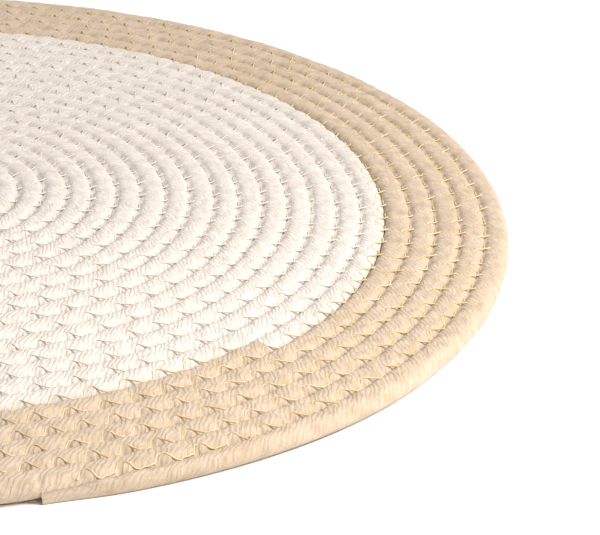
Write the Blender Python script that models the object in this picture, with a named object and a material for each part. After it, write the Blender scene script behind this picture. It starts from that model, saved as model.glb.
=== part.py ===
"""A round table mat: soft cotton cord wound flat into a spiral and sewn round to round.

A white cord makes the centre. A tan cord butts on to its outer end and makes the border.
Metres, +Z up. The coil's centre is the origin, on the flat underside. Seen from above,
the coil winds outward clockwise. Step 0 is where the cord's outer edge is one cord width
from the centre, and each step after it is one facet further along the cord.
"""

import math

import bmesh
import bpy

# Driving dimensions
MAT_RADIUS = 0.194  # at the cord's outer end, before it thins
ROUNDS = 25 + 1 / 12  # rounds of cord along that radius
THICKNESS = 0.0066  # floor to crest
VALLEY_DEPTH = 0.0015  # crest down to the sewn valley between two rounds
SHOULDER = 0.27  # share of the width from a cord's edge to its flat crest
BORDER_TURNS = 5 + 1 / 12  # tan cord, from the splice to its outer end
OUTER_END_ANGLE = math.radians(-80)  # anticlockwise from +X
TAPER_TURNS = 0.1  # the outer end thins over this much of the last turn
TAPER_WIDTH = 0.25  # share of the width left at the tip
START_TURNS = 0.2  # how far past step 0 the cord's blunt start lies
PIECE_GAP = 0.0003  # between the two cords
FACETS = 60  # in one turn

# Worked out from them
CORD_WIDTH = MAT_RADIUS / ROUNDS
LAST = round((ROUNDS - 1) * FACETS)
SPLICE = LAST - round(BORDER_TURNS * FACETS)
START = round(START_TURNS * FACETS)
TAPER = round(TAPER_TURNS * FACETS)
VALLEY_HEIGHT = THICKNESS - VALLEY_DEPTH

# The rounded outer side of the last round, from its top edge to the floor:
# (share of the cord width inward, share of the thickness up)
RIM_PROFILE = (
    (0.10, VALLEY_HEIGHT / THICKNESS),
    (0.00, 0.48),
    (0.08, 0.16),
    (0.24, 0.00),
)
# A cut side that faces the other cord stands straight up
CUT_PROFILE = (
    (0.00, VALLEY_HEIGHT / THICKNESS),
    (0.00, 0.00),
)

WHITE_COTTON = ("white_cotton", (0.80, 0.74, 0.68, 1.0))
TAN_COTTON = ("tan_cotton", (0.60, 0.46, 0.32, 1.0))
COTTON_ROUGHNESS = 0.9

WELD_DISTANCE = 0.00001
FLAT_ANGLE = math.radians(0.5)  # floor facets nearer to level than this become one face
SHARP_ANGLE = math.radians(50)


def clear_scene():
    for old in list(bpy.data.objects):
        bpy.data.objects.remove(old, do_unlink=True)


def edge_radius(step):
    """Radius of the cord's outer edge. The inner edge is the outer edge one turn before."""
    radius = CORD_WIDTH * (1 + step / FACETS)
    thinned = max(0.0, 1 - (LAST - step) / TAPER)
    smooth = thinned * thinned * (3 - 2 * thinned)
    return radius - smooth * (1 - TAPER_WIDTH) * CORD_WIDTH


def point(step, radius, height, turned=0.0):
    angle = OUTER_END_ANGLE + math.tau * (LAST - step) / FACETS + turned
    return (radius * math.cos(angle), radius * math.sin(angle), height)


def edge_column(step, profile, inset=0.0, turned=0.0):
    """Points down the cord's outer edge at a step, from its top to the floor."""
    edge = edge_radius(step) - inset
    return [
        point(step, edge - share * CORD_WIDTH, height * THICKNESS, turned)
        for share, height in profile
    ]


def shoulders(step, turned=0.0):
    """The two points where the cord's crest starts and ends."""
    inner = edge_radius(step - FACETS)
    outer = edge_radius(step)
    margin = SHOULDER * (outer - inner)
    return [
        point(step, inner + margin, THICKNESS, turned),
        point(step, outer - margin, THICKNESS, turned),
    ]


def coil(first, last, side_profile, inset=0.0, turned=0.0, filled_eye=False):
    """One closed solid of the cord from step first to step last.

    side_profile shapes the outer side of its last turn, which inset moves inward.
    filled_eye closes the eye inside the first turn, which is otherwise an open hole.
    """
    bm = bmesh.new()

    def verts(points):
        return [bm.verts.new(p) for p in points]

    # The outer edge of every turn, and of the turn that the first one winds round
    edges = {}
    for step in range(first - FACETS, last + 1):
        outside = step >= last - FACETS
        profile = side_profile if outside else CUT_PROFILE
        edges[step] = verts(edge_column(step, profile, inset if outside else 0.0, turned))
    crests = {step: verts(shoulders(step, turned)) for step in range(first, last + 1)}

    def top_line(step):
        return [edges[step - FACETS][0], *crests[step], edges[step][0]]

    def strip(line, next_line):
        for k in range(len(line) - 1):
            bm.faces.new((line[k], next_line[k], next_line[k + 1], line[k + 1]))

    floor_faces = []
    for step in range(first, last):
        strip(top_line(step), top_line(step + 1))
        inner = edges[step - FACETS][-1], edges[step + 1 - FACETS][-1]
        outer = edges[step + 1][-1], edges[step][-1]
        floor_faces.append(bm.faces.new((*inner, *outer)))

    for step in range(last - FACETS, last):
        strip(edges[step], edges[step + 1])

    # The end of the cord, and under it the side of the round that it lies against
    bm.faces.new([*top_line(last), *edges[last][1:], *reversed(edges[last - FACETS][1:])])

    first_turn = range(first - FACETS, first + 1)
    if filled_eye:
        eye = bm.faces.new([*(edges[s][0] for s in first_turn), *reversed(crests[first])])
        bmesh.ops.poke(bm, faces=[eye], offset=VALLEY_DEPTH)
        floor_faces.append(bm.faces.new([edges[s][-1] for s in first_turn]))
    else:
        for step in range(first - FACETS, first):
            strip(edges[step + 1], edges[step])
        bm.faces.new([*top_line(first), edges[first][-1], edges[first - FACETS][-1]])

    floor_edges = {edge for face in floor_faces for edge in face.edges}
    between = [e for e in floor_edges if all(f in floor_faces for f in e.link_faces)]
    bmesh.ops.dissolve_limit(bm, angle_limit=FLAT_ANGLE, verts=[], edges=between)
    bmesh.ops.remove_doubles(bm, verts=bm.verts, dist=WELD_DISTANCE)
    bmesh.ops.recalc_face_normals(bm, faces=bm.faces)
    return bm


def material(name, colour):
    made = bpy.data.materials.new(name)
    made.use_nodes = True
    shader = made.node_tree.nodes["Principled BSDF"]
    shader.inputs["Base Color"].default_value = colour
    shader.inputs["Roughness"].default_value = COTTON_ROUGHNESS
    shader.inputs["Metallic"].default_value = 0.0
    return made


def add_piece(name, bm, finish):
    mesh = bpy.data.meshes.new(name)
    bm.to_mesh(mesh)
    bm.free()
    mesh.shade_smooth()
    mesh.set_sharp_from_angle(angle=SHARP_ANGLE)
    mesh.materials.append(material(*finish))
    piece = bpy.data.objects.new(name, mesh)
    bpy.context.scene.collection.objects.link(piece)


def main():
    clear_scene()
    turned = PIECE_GAP / edge_radius(SPLICE)
    centre = coil(START, SPLICE, CUT_PROFILE, inset=PIECE_GAP, turned=turned, filled_eye=True)
    add_piece("centre_coil", centre, WHITE_COTTON)
    border = coil(SPLICE, LAST, RIM_PROFILE)
    add_piece("border_coil", border, TAN_COTTON)


main()
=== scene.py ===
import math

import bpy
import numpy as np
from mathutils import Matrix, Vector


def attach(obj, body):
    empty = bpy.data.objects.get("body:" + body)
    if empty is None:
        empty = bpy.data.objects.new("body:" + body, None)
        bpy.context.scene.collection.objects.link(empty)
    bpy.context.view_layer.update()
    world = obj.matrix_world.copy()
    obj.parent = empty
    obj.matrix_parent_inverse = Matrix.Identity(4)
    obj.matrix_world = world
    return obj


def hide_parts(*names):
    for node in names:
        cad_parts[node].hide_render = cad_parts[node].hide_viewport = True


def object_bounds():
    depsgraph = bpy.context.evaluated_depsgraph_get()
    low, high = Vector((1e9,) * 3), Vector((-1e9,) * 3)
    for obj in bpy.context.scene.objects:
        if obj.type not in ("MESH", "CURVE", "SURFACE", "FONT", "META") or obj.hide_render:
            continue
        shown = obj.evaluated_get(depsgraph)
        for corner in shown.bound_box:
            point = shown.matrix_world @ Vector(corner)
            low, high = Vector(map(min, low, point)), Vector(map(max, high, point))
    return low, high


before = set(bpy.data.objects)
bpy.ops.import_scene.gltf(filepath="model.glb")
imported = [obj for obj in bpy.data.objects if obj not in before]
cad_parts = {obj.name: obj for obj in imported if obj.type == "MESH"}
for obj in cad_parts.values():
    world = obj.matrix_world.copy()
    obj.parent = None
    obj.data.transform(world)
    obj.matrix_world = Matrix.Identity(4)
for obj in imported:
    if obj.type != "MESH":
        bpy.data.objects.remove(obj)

# The looks of a round table mat: soft cotton cord wound flat into a spiral and zigzag-sewn
# round to round. A place on the cord is its turn, the radius of the cord's outer edge in
# cord widths, and its side, from -1 at the inner edge of the round to 1 at the outer edge.
# Seen from above, the cord winds outward clockwise.

cad_low, cad_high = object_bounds()

# The spiral, as the solids have it
ROUNDS = 25 + 1 / 12
BORDER_TURNS = 5 + 1 / 12
START = 1.2  # turn at which the cord starts, round a filled eye
OUTER_END_ANGLE = math.radians(-80)
TAPER_TURNS = 0.1
TAPER_WIDTH = 0.25
PIECE_GAP = 0.0003
SPLICE = ROUNDS - BORDER_TURNS

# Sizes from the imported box, whose right side is the last round at angle 0
THICKNESS = cad_high.z
CORD = cad_high.x / (ROUNDS + OUTER_END_ANGLE / math.tau)
RADIUS = CORD * ROUNDS

# The cord's own section
VALLEY_DEPTH = 0.0017
UNDER_DEPTH = 0.0010
SECTION_REACH = 0.97  # share of a rounded section's half width that the upper skin spans
SECTION_POWER = 2.5  # over 2, the crest is flatter and the valleys narrower
FREE_TURNS = 0.006  # the last round's open side grows round over this much of a turn
TIP_TURNS = 0.02  # the tucked tip of the outer end
CREST_WOBBLE = 0.00018
EDGE_WOBBLE = 0.00016
LUMP_HEIGHT = 0.00012

# The zigzag seam in each valley. Going anticlockwise, a stitch climbs on to the round inside
# the valley in a short tight leg, comes back over the valley in a slanted looser one, and
# runs along the valley to the next: (share of the gap, share of the reach)
STITCH_GAP = 0.0098
GAP_JITTER = 0.06
REACH_IN = 0.38 * CORD
REACH_OUT = 0.15 * CORD
REACH_JITTER = 0.12
INWARD_COURSE = ((0.0, 0.0), (0.03, 0.05), (0.19, 0.97), (0.25, 1.0), (0.33, 0.92), (0.53, 0.0), (1.0, 0.0))
OUTWARD_COURSE = ((0.0, 0.0), (0.53, 0.0), (0.62, 1.0), (0.67, 0.9), (0.74, 0.0), (1.0, 0.0))
LOOSE_LEG = (0.33, 0.64)
COURSE_STEPS = 401
COURSE_ROUNDING = 17  # steps over which a corner of the course is rounded
THREAD = 0.00045  # diameter
GROOVE = 0.00050
GROOVE_WIDTH = 0.00075
PUFF = 0.00032
PIT = 0.0013
PIT_SHARE = 0.16  # where the open pit beside each tight leg lies, in shares of the gap

# Mesh sizes
WHITE_CELL = 0.00098
TAN_CELL = 0.00070

# The camera, in radii of the mat from the coil's centre
CAMERA_BACK = 3.28022
CAMERA_UP = 1.43797
CAMERA_YAW = 0.20223  # to the right of the line through the centre
CAMERA_PITCH = 0.43924  # downward
CAMERA_ROLL = 0.05717
CAMERA_LENS = 129.73
CAMERA_SENSOR = 36.0

# The stage
FLOOR_HALF = 3.0
FLOOR_DROP = 0.0002  # the floor lies this far under the mat
SKY_STRENGTH = 0.62
KEY_SIZE = 0.35
KEY_POWER = 7.0


def ease(x):
    x = np.clip(x, 0.0, 1.0)
    return x * x * (3 - 2 * x)


def wander(x, seed):
    """Smooth random values from -1 to 1 along x, a new one at each whole number."""
    table = np.random.default_rng(seed).uniform(-1, 1, 4096)
    cell = np.floor(x).astype(int)
    part = ease(x - cell)
    return table[cell % 4096] * (1 - part) + table[(cell + 1) % 4096] * part


def lumps(x, y, seed):
    """The same over a plane."""
    table = np.random.default_rng(seed).uniform(-1, 1, (512, 64))
    i, j = np.floor(x).astype(int), np.floor(y).astype(int)
    s, t = ease(x - i), ease(y - j)

    def value(a, b):
        return table[a % 512, b % 64]

    near = value(i, j) * (1 - s) + value(i + 1, j) * s
    far = value(i, j + 1) * (1 - s) + value(i + 1, j + 1) * s
    return near * (1 - t) + far * t


# ---------------------------------------------------------------- the spiral


def cord_length(turn):
    """Length of cord up to a turn, along its middle."""
    return math.pi * CORD * (turn * turn - turn)


def turn_at(length):
    return 0.5 + np.sqrt(0.25 + length / (math.pi * CORD))


def seam_length(turn):
    """Length of the seam up to a turn, along the cord's outer edge."""
    return math.pi * CORD * turn * turn


def angle_at(turn):
    return OUTER_END_ANGLE + math.tau * (ROUNDS - turn)


def edge(turn):
    """Radius of the cord's outer edge; its inner edge is the outer edge one turn before."""
    thinned = (1 - TAPER_WIDTH) * ease(1 - (ROUNDS - turn) / TAPER_TURNS)
    thinned = thinned + 0.2 * ease(1 - (ROUNDS - turn) / TIP_TURNS)
    wobble = EDGE_WOBBLE * wander(seam_length(turn) / 0.03, 11)
    return CORD * (turn - thinned) + wobble


def crest_height(turn):
    """Height of the cord's crest, which sinks where the outer end thins."""
    width = np.clip((edge(turn) - edge(turn - 1)) / CORD, 0.05, 1.0)
    wobble = CREST_WOBBLE * (wander(cord_length(turn) / 0.012, 31) - 0.6)
    return THICKNESS * (0.35 + 0.65 * np.sqrt(width)) + wobble


def at(turn, radius, height):
    angle = angle_at(turn)
    return np.stack([radius * np.cos(angle), radius * np.sin(angle), height + 0 * turn], -1)


# ---------------------------------------------------------------- the seam


def stitch_table():
    """Gap after each stitch, its place along the seam, and how far it reaches each way."""
    random = np.random.default_rng(21)
    count = int(seam_length(ROUNDS) / STITCH_GAP * 1.2) + 4
    gap = STITCH_GAP * (1 + 0.10 * wander(np.arange(count) / 9, 22) + GAP_JITTER * random.normal(size=count))
    gap = np.clip(gap, 0.75 * STITCH_GAP, 1.25 * STITCH_GAP)
    place = np.concatenate([[0.0], np.cumsum(gap)[:-1]])
    inward = REACH_IN * np.clip(1 + REACH_JITTER * random.normal(size=count), 0.6, 1.25)
    outward = REACH_OUT * np.clip(1 + 3 * REACH_JITTER * random.normal(size=count), 0.2, 2.0)
    return gap, place, inward, outward


GAP, PLACE, INWARD, OUTWARD = stitch_table()


def stitch_of(seam_turn):
    """The stitch at a place on the seam, and the share of its gap, counted anticlockwise."""
    phase = np.interp(seam_length(seam_turn), PLACE, np.arange(len(PLACE)))
    number = np.minimum(np.floor(phase).astype(int), len(PLACE) - 2)
    return number, 1 - (phase - number)


def smooth_course(knots):
    """A table of the course through the knots, with its corners rounded."""
    share = np.linspace(-0.5, 1.5, COURSE_STEPS)
    value = np.interp(share, *zip(*knots))
    kernel = np.hanning(COURSE_ROUNDING)
    return share, np.convolve(value, kernel / kernel.sum(), mode="same")


IN_TABLE = smooth_course(INWARD_COURSE)
OUT_TABLE = smooth_course(OUTWARD_COURSE)


def thread_offset(number, share):
    """Where the thread lies across the seam, outward being positive."""
    return OUTWARD[number] * np.interp(share, *OUT_TABLE) - INWARD[number] * np.interp(share, *IN_TABLE)


def seam_relief(seam_turn, offset):
    """How the thread dents the cord near the seam and how the cord puffs between stitches."""
    number, share = stitch_of(seam_turn)
    step = 0.01
    ahead, behind = thread_offset(number, share + step), thread_offset(number, share - step)
    slope = (ahead - behind) / (2 * step * GAP[number])
    away = (offset - thread_offset(number, share)) / np.sqrt(1 + slope * slope)
    loose = ease((share - LOOSE_LEG[0]) / 0.08)
    dent = GROOVE * (1 - 0.65 * loose) * np.exp(-((away / GROOVE_WIDTH) ** 2))
    bridged = ease(np.abs(offset) / (0.16 * CORD))
    inside = np.sin(math.pi * np.clip((share - 0.12) / 0.45, 0, 1)) * (offset < 0)
    beside = np.sin(math.pi * np.clip((share - 0.40) / 0.62, 0, 1))
    belly = np.exp(-(((np.abs(offset) / CORD - 0.20) / 0.15) ** 2))
    return PUFF * belly * np.maximum(inside, beside) - dent * bridged


def valley_height(seam_turn):
    """Height of the sewn valley, with an open pit beside each tight leg."""
    share = stitch_of(seam_turn)[1]
    pit = np.exp(-(((share - PIT_SHARE) / 0.11) ** 2)) + 0.35 * np.exp(-(((share - 0.82) / 0.13) ** 2))
    return THICKNESS - VALLEY_DEPTH - PIT * pit


# ---------------------------------------------------------------- the cord's skin


def top_height(turn, side):
    """Height of the upper skin, with the dents and puffs of the seams on both sides."""
    width = edge(turn) - edge(turn - 1)
    crest = crest_height(turn)
    free = ease((turn - (ROUNDS - 1)) / FREE_TURNS) * ease(side * 2)
    outer = valley_height(turn) * (1 - free) + 0.5 * crest * free
    inner = np.minimum(valley_height(turn - 1), crest - 0.0002)
    foot = inner + (outer - inner) * (side + 1) / 2
    low = math.sqrt(1 - SECTION_REACH**SECTION_POWER)
    sewn = (np.sqrt(1 - np.abs(SECTION_REACH * side) ** SECTION_POWER) - low) / (1 - low)
    rounded = sewn * (1 - free) + np.sqrt(np.clip(1 - side * side, 0, 1)) * free
    height = foot + (crest - foot) * rounded
    height = height + (1 - free) * seam_relief(turn, -(1 - side) / 2 * width) * ease(1 + side)
    height = height + seam_relief(turn - 1, (1 + side) / 2 * width) * ease(1 - side)
    lump = lumps(cord_length(turn) / 0.0028, side * 1.6 + 20, 41)
    rough = lumps(cord_length(turn) / 0.0011, side * 3.3 + 20, 42) * ease(-side)
    return height + LUMP_HEIGHT * (lump + rough) * (1 - side**4)


def under_height(turn, side):
    """Height of the under skin, which rests on the table along the middle of the cord."""
    return UNDER_DEPTH * side**4 + 0 * turn


class Skin:
    """Collects points and faces, with the cord's own coordinates at each face corner."""

    def __init__(self):
        self.points, self.faces, self.corners = [], [], []
        self.count = 0

    def add(self, points):
        points = points.reshape(-1, 3)
        self.points.append(points)
        self.count += len(points)
        return np.arange(self.count - len(points), self.count)

    def polygons(self, faces, corners, flipped):
        if flipped:
            faces, corners = faces[:, ::-1], corners[:, ::-1]
        self.faces.append(faces)
        self.corners.append(corners)

    def grid(self, rows, corners, flipped=False):
        """Quads between rows of points, the rows running along the cord."""
        a, b = rows[:-1], rows[1:]
        ca, cb = corners[:-1], corners[1:]
        faces = np.stack([a[:, :-1], a[:, 1:], b[:, 1:], b[:, :-1]], -1).reshape(-1, 4)
        uv = np.stack([ca[:, :-1], ca[:, 1:], cb[:, 1:], cb[:, :-1]], -2).reshape(-1, 4, 2)
        self.polygons(faces, uv, flipped)

    def zipped(self, inner, outer, flipped=False):
        """Triangles between two rows whose points don't pair up: (turns, points, corners)."""
        (ta, pa, ca), (tb, pb, cb) = inner, outer
        order = np.argsort(np.concatenate([ta[1:], tb[1:]]), kind="stable")
        from_a = order < len(ta) - 1
        ia, ib = np.cumsum(from_a), np.cumsum(~from_a)
        last_a, last_b = ia - from_a, ib - ~from_a
        third = np.where(from_a, pa[ia], pb[ib])
        third_uv = np.where(from_a[:, None], ca[ia], cb[ib])
        faces = np.stack([pa[last_a], third, pb[last_b]], -1)
        uv = np.stack([ca[last_a], third_uv, cb[last_b]], -2)
        self.polygons(faces, uv, flipped)

    def fan(self, loop, centre, flipped=False):
        """Triangles from a closed loop of points to one point."""
        after = np.roll(loop, -1)
        faces = np.stack([loop, after, np.full(len(loop), centre)], -1)
        self.polygons(faces, np.zeros((len(loop), 3, 2)), flipped)

    def object(self, name, material):
        mesh = bpy.data.meshes.new(name)
        points = np.concatenate(self.points)
        sizes = np.concatenate([np.full(len(f), f.shape[1]) for f in self.faces])
        loops = np.concatenate([f.reshape(-1) for f in self.faces])
        mesh.vertices.add(len(points))
        mesh.vertices.foreach_set("co", points.astype(np.float32).reshape(-1))
        mesh.loops.add(len(loops))
        mesh.loops.foreach_set("vertex_index", loops.astype(np.int32))
        mesh.polygons.add(len(sizes))
        starts = np.concatenate([[0], np.cumsum(sizes)[:-1]])
        mesh.polygons.foreach_set("loop_start", starts.astype(np.int32))
        mesh.update(calc_edges=True)
        mesh.validate()
        corners = np.concatenate([c.reshape(-1, 2) for c in self.corners])
        mesh.uv_layers.new(name="cord").uv.foreach_set("vector", corners.astype(np.float32).reshape(-1))
        mesh.shade_smooth()
        mesh.materials.append(material)
        made = bpy.data.objects.new(name, mesh)
        bpy.context.scene.collection.objects.link(made)
        return made


def cord_corners(turn, side):
    """The cord's own coordinates: metres along it and metres across it."""
    return np.stack([cord_length(turn), side * CORD / 2 + 0 * turn], -1)


def coil(first, last, cell, sides, under_sides, rim, inset=0.0, eye=False):
    """The closed skin of the cord from turn first to turn last.

    sides and under_sides are where the rows of points lie across the cord. rim lists the rows
    down the free outer side, as (share of the half width inward, share of the height).
    """
    skin = Skin()
    whole = np.arange(cord_length(first), cord_length(last), cell)
    turns = np.unique(np.concatenate([turn_at(whole), [first, last - 1, last]]))
    before_count = max(12, round(seam_length(first) / first * 2 / cell))
    before = np.linspace(first - 1, first, before_count)[:-1]
    edges = np.concatenate([before, turns])
    own = edges >= first
    outside = edges >= last - 1
    within = edges <= last - 1

    edge_radius = edge(edges) - inset * ease((edges - (last - 1)) / FREE_TURNS)
    is_free = ease((edges - (ROUNDS - 1)) / FREE_TURNS)
    crest = crest_height(edges)
    edge_height = valley_height(edges) * (1 - is_free) + 0.5 * crest * is_free
    top_edge = skin.add(at(edges, edge_radius, edge_height))
    half = np.minimum(edge_radius - edge(edges - 1), CORD) / 2
    under_radius = edge_radius - 0.62 * half * is_free
    under_edge = skin.add(at(edges, under_radius, UNDER_DEPTH * (1 - is_free)))

    inner_radius = edge(turns - 1)
    outer_radius = edge_radius[own]

    def rows(where, height):
        made = []
        for side in where:
            radius = inner_radius + (1 + side) / 2 * (outer_radius - inner_radius)
            made.append(skin.add(at(turns, radius, height(turns, side))))
        return np.array(made)

    def surface(inside, edge_points, flipped, height):
        middle = rows(inside, height)
        every = np.vstack([middle, edge_points[own]])
        corners = np.array([cord_corners(turns, side) for side in (*inside, 1.0)])
        skin.grid(every, corners, flipped)
        inner_turns = edges[within] + 1
        inner = (inner_turns, edge_points[within], cord_corners(inner_turns, -1.0))
        skin.zipped(inner, (turns, middle[0], corners[0]), flipped)
        return every

    top = surface(sides, top_edge, False, top_height)
    under = surface(under_sides, under_edge, True, under_height)

    # The free outer side of the last turn
    side_rows = [top_edge[outside]]
    for share, height in rim:
        wall = edge_radius[outside] - share * half[outside]
        side_rows.append(skin.add(at(edges[outside], wall, height * crest[outside])))
    side_rows.append(under_edge[outside])
    side_rows = np.array(side_rows)
    across = np.linspace(CORD / 2, CORD, len(side_rows))
    along = cord_length(edges[outside])
    corners = np.array([np.stack([along, 0 * along + place], -1) for place in across])
    skin.grid(side_rows, corners)

    # The end of the cord, closed round a point in its middle
    inner_top, inner_under = top_edge[within][-1], under_edge[within][-1]
    loop = [inner_top, *top[:, -1], *side_rows[1:-1, -1], *under[::-1, -1], inner_under]
    middle_radius = (edge_radius[-1] + edge_radius[within][-1]) / 2
    middle = skin.add(at(np.array([last + 0.0004]), middle_radius, THICKNESS / 2))[0]
    skin.fan(np.array(loop), middle, True)

    starts = edges <= first
    if eye:
        # A small dome fills the space that the first turn winds round
        loop = np.concatenate([top_edge[starts], top[-2::-1, 0]])
        under_loop = np.concatenate([under_edge[starts], under[-2::-1, 0]])
        points = np.concatenate(skin.points)
        centre = points[loop].mean(0)
        rings = [loop]
        for share, rise in ((0.25, 0.55), (0.5, 0.85), (0.75, 0.97)):
            ring = points[loop] * (1 - share) + centre * share
            ring[:, 2] = points[loop][:, 2] * (1 - rise) + THICKNESS * rise
            rings.append(skin.add(ring))
        for a, b in zip(rings, rings[1:]):
            faces = np.stack([a, b, np.roll(b, -1), np.roll(a, -1)], -1)
            skin.polygons(faces, np.zeros((len(a), 4, 2)), True)
        centre[2] = THICKNESS
        skin.fan(rings[-1], skin.add(centre)[0], False)
        centre_under = centre * [1, 1, 0]
        skin.fan(under_loop, skin.add(centre_under)[0], True)
    else:
        corners = np.array([cord_corners(edges[starts] + 1, s) for s in (-1.0, -0.5)])
        skin.grid(np.array([under_edge[starts], top_edge[starts]]), corners)
        inner_top, inner_under = top_edge[starts][0], under_edge[starts][0]
        loop = [inner_top, *top[:, 0], *under[::-1, 0], inner_under]
        middle_radius = (edge_radius[own][0] + edge_radius[starts][0]) / 2
        middle = skin.add(at(np.array([first - 0.0004]), middle_radius, THICKNESS / 2))[0]
        skin.fan(np.array(loop), middle, False)
    return skin


# ---------------------------------------------------------------- the thread


THREAD_SHARES = np.array(
    [0.0, 0.03, 0.07, 0.11, 0.15, 0.19, 0.25, 0.29, 0.33, 0.38, 0.43, 0.48, 0.53, 0.58, 0.64, 0.69, 0.75, 0.88]
)


def thread_route(first, last):
    """Places of the zigzag thread: turn, radius and height, a row for each stitch."""
    start, stop = np.searchsorted(PLACE, [seam_length(first), seam_length(last)])
    number = np.arange(start, stop - 1)[:, None]
    share = THREAD_SHARES[None, ::-1]
    turn = np.sqrt((PLACE[number] + (1 - share) * GAP[number]) / (math.pi * CORD))
    offset = thread_offset(number, share)
    on_inner = top_height(turn, np.clip(1 + 2 * offset / (edge(turn) - edge(turn - 1)), -1, 1))
    on_outer = top_height(turn + 1, np.clip(-1 + 2 * offset / (edge(turn + 1) - edge(turn)), -1, 1))
    height = np.where(offset < 0, on_inner, on_outer)
    # The loose leg is nearly straight, and the run along the valley lies a little up in it
    part = (share - LOOSE_LEG[0]) / (LOOSE_LEG[1] - LOOSE_LEG[0])
    top, foot = (height[:, [np.argmin(np.abs(share[0] - s))]] for s in LOOSE_LEG)
    chord = top + (foot - top) * part
    height = np.where((part > 0) & (part < 1), np.maximum(height, chord), height)
    height = height + THREAD * (0.30 - 0.35 * (share > 0.02) * (share < 0.30))
    run = ease((share - 0.66) / 0.1) + ease((0.03 - share) / 0.03)
    height = height + 0.0004 * run
    return turn.reshape(-1), (edge(turn) + offset).reshape(-1), height.reshape(-1)


def tube(points, radius, sides):
    """Rings of points round a route, closed at both ends."""
    along = np.gradient(points, axis=0)
    along /= np.linalg.norm(along, axis=1, keepdims=True) + 1e-12
    across = np.cross(along, [0.0, 0.0, 1.0])
    across /= np.linalg.norm(across, axis=1, keepdims=True) + 1e-12
    up = np.cross(across, along)
    turn = np.arange(sides) * math.tau / sides
    ring = across[:, None] * np.cos(turn)[:, None] + up[:, None] * np.sin(turn)[:, None]
    return points[:, None] + ring * np.asarray(radius).reshape(-1, 1, 1)


def add_tube(skin, points, radius, sides):
    rings = tube(points, radius, sides)
    index = skin.add(rings).reshape(len(points), sides)
    length = np.concatenate([[0], np.cumsum(np.linalg.norm(np.diff(points, axis=0), axis=1))])
    a, b = index[:-1], index[1:]
    faces = np.stack([a, b, np.roll(b, -1, 1), np.roll(a, -1, 1)], -1).reshape(-1, 4)
    around = np.arange(sides) / sides * math.tau * np.mean(radius)
    corner = np.stack(np.broadcast_arrays(length[:, None], around[None, :]), -1)
    ca, cb = corner[:-1], corner[1:]
    uv = np.stack([ca, cb, np.roll(cb, -1, 1), np.roll(ca, -1, 1)], -2).reshape(-1, 4, 2)
    skin.polygons(faces, uv, False)
    for ring, flipped in ((index[0], False), (index[-1], True)):
        skin.polygons(ring[None, :], np.zeros((1, sides, 2)), flipped)


def zigzag(name, first, last, material, sides):
    turn, radius, height = thread_route(first, last)
    skin = Skin()
    add_tube(skin, at(turn, radius, height), THREAD / 2, sides)
    return skin.object(name, material)


# ---------------------------------------------------------------- materials


class Nodes:
    """A short way to build a material's node tree."""

    def __init__(self, name):
        self.material = bpy.data.materials.new(name)
        self.material.use_nodes = True
        self.tree = self.material.node_tree
        self.shader = self.tree.nodes["Principled BSDF"]

    def make(self, kind, inputs=None, **settings):
        node = self.tree.nodes.new(kind)
        for key, value in settings.items():
            setattr(node, key, value)
        for key, value in (inputs or {}).items():
            self.put(node.inputs[key], value)
        return node

    def put(self, socket, value):
        if isinstance(value, bpy.types.NodeSocket):
            self.tree.links.new(value, socket)
        else:
            socket.default_value = value

    def math(self, operation, a, b):
        return self.make("ShaderNodeMath", {0: a, 1: b}, operation=operation).outputs[0]

    def mix(self, share, a, b):
        node = self.make("ShaderNodeMix", data_type="RGBA")
        self.put(node.inputs["Factor"], share)
        self.put(node.inputs["A"], a)
        self.put(node.inputs["B"], b)
        return node.outputs["Result"]

    def noise(self, vector, scale, detail=2.0, roughness=0.5, dimensions="3D"):
        made = self.make(
            "ShaderNodeTexNoise",
            {"Vector": vector, "Scale": scale, "Detail": detail, "Roughness": roughness},
            noise_dimensions=dimensions,
        )
        return made.outputs["Fac"]

    def ramp(self, value, low, high):
        """value from low to high becomes 0 to 1."""
        node = self.make("ShaderNodeMapRange", {"Value": value, "From Min": low, "From Max": high})
        node.interpolation_type = "SMOOTHSTEP"
        return node.outputs["Result"]


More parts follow.
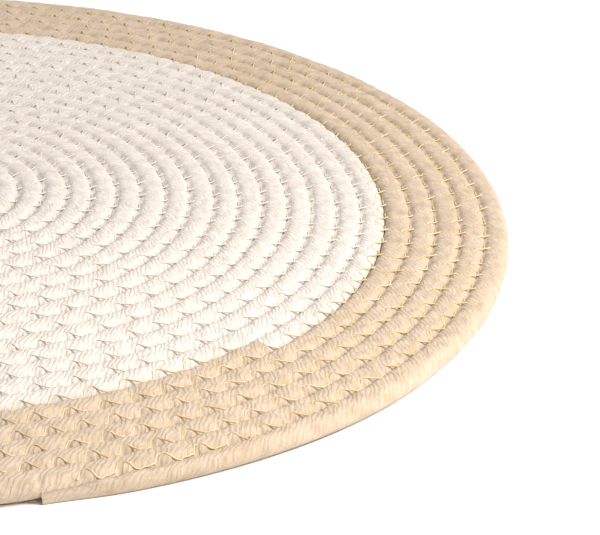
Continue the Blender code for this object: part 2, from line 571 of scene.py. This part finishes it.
def cotton(name, colours, mottle, fleck, sheen):
    """Soft spun cotton: slanted strands, fine fibres and a mottled colour, with painted shade in the grooves
    between strands and between fibres.
    """
    nodes = Nodes(name)
    base, light, dark = colours
    uv = nodes.make("ShaderNodeUVMap", uv_map="cord").outputs["UV"]
    place = nodes.make("ShaderNodeTexCoord").outputs["Object"]
    warp = nodes.make(
        "ShaderNodeTexNoise",
        {"Vector": uv, "Scale": 260.0, "Detail": 1.0},
        noise_dimensions="2D",
    ).outputs["Color"]
    shifted = nodes.make(
        "ShaderNodeVectorMath",
        {0: warp, 1: (0.5, 0.5, 0.5)},
        operation="SUBTRACT",
    ).outputs[0]
    shifted = nodes.make("ShaderNodeVectorMath", {0: shifted, "Scale": 0.0022}, operation="SCALE").outputs[0]
    bent = nodes.make("ShaderNodeVectorMath", {0: uv, 1: shifted}, operation="ADD").outputs[0]
    slanted = nodes.make(
        "ShaderNodeMapping",
        {"Vector": bent, "Rotation": (0, 0, math.radians(42))},
    ).outputs[0]
    strands = nodes.make(
        "ShaderNodeTexWave",
        {"Vector": slanted, "Scale": 230.0, "Distortion": 1.2, "Detail": 1.0, "Detail Scale": 2.0},
        wave_type="BANDS",
        bands_direction="X",
        wave_profile="SIN",
    ).outputs["Fac"]
    stretched = nodes.make("ShaderNodeMapping", {"Vector": slanted, "Scale": (9000.0, 900.0, 1.0)}).outputs[0]
    fibres = nodes.noise(stretched, 0.35, detail=3.0, roughness=0.65, dimensions="2D")
    fine = nodes.noise(place, 1600.0, detail=2.0, roughness=0.6)
    broad = nodes.noise(place, 55.0, detail=3.0, roughness=0.6)
    patch = nodes.noise(place, 260.0, detail=2.0, roughness=0.55)

    tone = nodes.mix(nodes.math("MULTIPLY", nodes.ramp(broad, 0.35, 0.65), mottle), base, light)
    tone = nodes.mix(nodes.math("MULTIPLY", nodes.ramp(patch, 0.42, 0.7), mottle), tone, dark)
    # Painted shade between fibres: darker colour where the fibre relief is low.
    shade = nodes.math("MULTIPLY", nodes.ramp(fibres, 0.75, 0.35), 0.30)
    tone = nodes.mix(shade, tone, dark)
    # Painted shade between strands: darker colour where the strand relief is low.
    gap = nodes.math("MULTIPLY", nodes.ramp(strands, 0.35, 0.0), 0.25)
    tone = nodes.mix(gap, tone, dark)
    spots = nodes.ramp(nodes.noise(place, 480.0, detail=1.0), 0.70, 0.78)
    tone = nodes.mix(nodes.math("MULTIPLY", spots, fleck[1]), tone, fleck[0])
    nodes.put(nodes.shader.inputs["Base Color"], tone)

    relief = nodes.math("ADD", nodes.math("MULTIPLY", strands, 0.6), nodes.math("MULTIPLY", fibres, 0.9))
    relief = nodes.math("ADD", relief, nodes.math("MULTIPLY", fine, 0.5))
    bump = nodes.make("ShaderNodeBump", {"Height": relief, "Strength": 0.75, "Distance": 0.00040})
    nodes.put(nodes.shader.inputs["Normal"], bump.outputs["Normal"])
    nodes.shader.inputs["Roughness"].default_value = 0.92
    nodes.shader.inputs["Specular IOR Level"].default_value = 0.25
    nodes.shader.inputs["Sheen Weight"].default_value = sheen
    nodes.shader.inputs["Sheen Roughness"].default_value = 0.5
    return nodes.material


def sewing_thread(name, colour, other, roughness):
    """Twisted thread, two plies to the eye."""
    nodes = Nodes(name)
    uv = nodes.make("ShaderNodeUVMap", uv_map="cord").outputs["UV"]
    place = nodes.make("ShaderNodeTexCoord").outputs["Object"]
    turned = nodes.make("ShaderNodeMapping", {"Vector": uv, "Rotation": (0, 0, math.radians(35))}).outputs[0]
    plies = nodes.make(
        "ShaderNodeTexWave",
        {"Vector": turned, "Scale": 700.0, "Distortion": 0.6},
        wave_type="BANDS",
        bands_direction="X",
        wave_profile="SIN",
    ).outputs["Fac"]
    # Patches of the second colour: on the white thread a slightly darker tone, on the gold thread cream, a
    # painted highlight laid in random patches.
    blend = nodes.ramp(nodes.noise(place, 90.0, detail=2.0), 0.4, 0.6)
    tone = nodes.mix(blend, colour, other)
    nodes.put(nodes.shader.inputs["Base Color"], tone)
    bump = nodes.make("ShaderNodeBump", {"Height": plies, "Strength": 0.6, "Distance": 0.0001})
    nodes.put(nodes.shader.inputs["Normal"], bump.outputs["Normal"])
    nodes.shader.inputs["Roughness"].default_value = roughness
    return nodes.material


def plain_floor():
    nodes = Nodes("pale_floor")
    place = nodes.make("ShaderNodeTexCoord").outputs["Object"]
    speck = nodes.noise(place, 30.0, detail=2.0)
    tone = nodes.mix(nodes.math("MULTIPLY", speck, 0.2), (0.93, 0.93, 0.93, 1), (0.91, 0.91, 0.91, 1))
    nodes.put(nodes.shader.inputs["Base Color"], tone)
    nodes.shader.inputs["Roughness"].default_value = 0.9
    return nodes.material


# ---------------------------------------------------------------- the scene


def area_light(name, place, target, size, power, colour):
    light = bpy.data.lights.new(name, "AREA")
    light.shape = "DISK"
    light.size = size
    light.energy = power
    light.color = colour
    lamp = bpy.data.objects.new(name, light)
    lamp.location = place
    lamp.rotation_mode = "QUATERNION"
    lamp.rotation_quaternion = (Vector(target) - Vector(place)).to_track_quat("-Z", "Y")
    bpy.context.scene.collection.objects.link(lamp)


def set_up_stage():
    floor = bpy.data.meshes.new("floor")
    corners = [(x * FLOOR_HALF, y * FLOOR_HALF, 0) for x, y in ((-1, -1), (1, -1), (1, 1), (-1, 1))]
    floor.from_pydata(corners, [], [(0, 1, 2, 3)])
    floor.materials.append(plain_floor())
    ground = bpy.data.objects.new("floor", floor)
    ground.location.z = -FLOOR_DROP
    bpy.context.scene.collection.objects.link(ground)

    scene = bpy.context.scene
    scene.view_settings.view_transform = "Standard"
    world = bpy.data.worlds.new("studio")
    scene.world = world
    world.use_nodes = True
    world.node_tree.nodes["Background"].inputs["Color"].default_value = (1.0, 0.99, 0.98, 1)
    world.node_tree.nodes["Background"].inputs["Strength"].default_value = SKY_STRENGTH
    area_light("key", (0.55, -0.35, 0.55), (0.08, -0.06, 0.0), KEY_SIZE, KEY_POWER, (1.0, 0.98, 0.95))


def set_up_camera():
    data = bpy.data.cameras.new("camera")
    data.lens = CAMERA_LENS
    data.sensor_width = CAMERA_SENSOR
    data.clip_start = 0.01
    camera = bpy.data.objects.new("camera", data)
    turn = Matrix.Rotation(-CAMERA_YAW, 4, "Z") @ Matrix.Rotation(math.pi / 2 - CAMERA_PITCH, 4, "X")
    turn = turn @ Matrix.Rotation(CAMERA_ROLL, 4, "Z")
    place = Matrix.Translation((0, -CAMERA_BACK * RADIUS, CAMERA_UP * RADIUS))
    camera.matrix_world = place @ turn
    bpy.context.scene.collection.objects.link(camera)
    bpy.context.scene.camera = camera


def main():
    set_up_stage()
    set_up_camera()

    white = cotton(
        "white_cotton_cord",
        ((0.80, 0.73, 0.67, 1), (0.84, 0.78, 0.73, 1), (0.66, 0.58, 0.51, 1)),
        mottle=0.5,
        fleck=((0.45, 0.40, 0.12, 1), 0.0),
        sheen=0.15,
    )
    tan = cotton(
        "tan_cotton_cord",
        ((0.66, 0.52, 0.39, 1), (0.72, 0.57, 0.46, 1), (0.50, 0.38, 0.25, 1)),
        mottle=0.6,
        fleck=((0.75, 0.58, 0.22, 1), 0.6),
        sheen=0.15,
    )
    white_thread = sewing_thread("white_thread", (0.80, 0.73, 0.66, 1), (0.74, 0.68, 0.60, 1), 0.7)
    # The gold thread's cream second colour is a painted highlight of the thread.
    gold_thread = sewing_thread("gold_thread", (0.66, 0.52, 0.26, 1), (0.80, 0.66, 0.44, 1), 0.5)

    sides = (-0.72, -0.43, -0.14, 0.14, 0.43, 0.72)
    fine_sides = (-0.80, -0.58, -0.35, -0.12, 0.12, 0.35, 0.58, 0.80)
    wall = ((0.0, 0.5), (0.0, 0.25))
    rim = tuple(
        (1 - math.cos(math.radians(a)), (1 - math.sin(math.radians(a))) / 2)
        for a in (22, 44, 62)
    )
    centre = coil(START, SPLICE, WHITE_CELL, sides, (0.0,), wall, inset=PIECE_GAP, eye=True)
    centre = centre.object("white_cord", white)
    border = coil(SPLICE, ROUNDS, TAN_CELL, fine_sides, (-0.4, 0.4), rim).object("tan_cord", tan)
    centre_seam = zigzag("white_zigzag", START, SPLICE - 1, white_thread, 4)
    border_seam = zigzag("gold_zigzag", SPLICE - 1, ROUNDS - 1, gold_thread, 5)

    pieces = (
        (centre, "white_cotton"),
        (border, "tan_cotton"),
        (centre_seam, "white_cotton"),
        (border_seam, "tan_cotton"),
    )
    for piece, slot in pieces:
        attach(piece, "root")
    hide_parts("centre_coil")
    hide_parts("border_coil")


main()
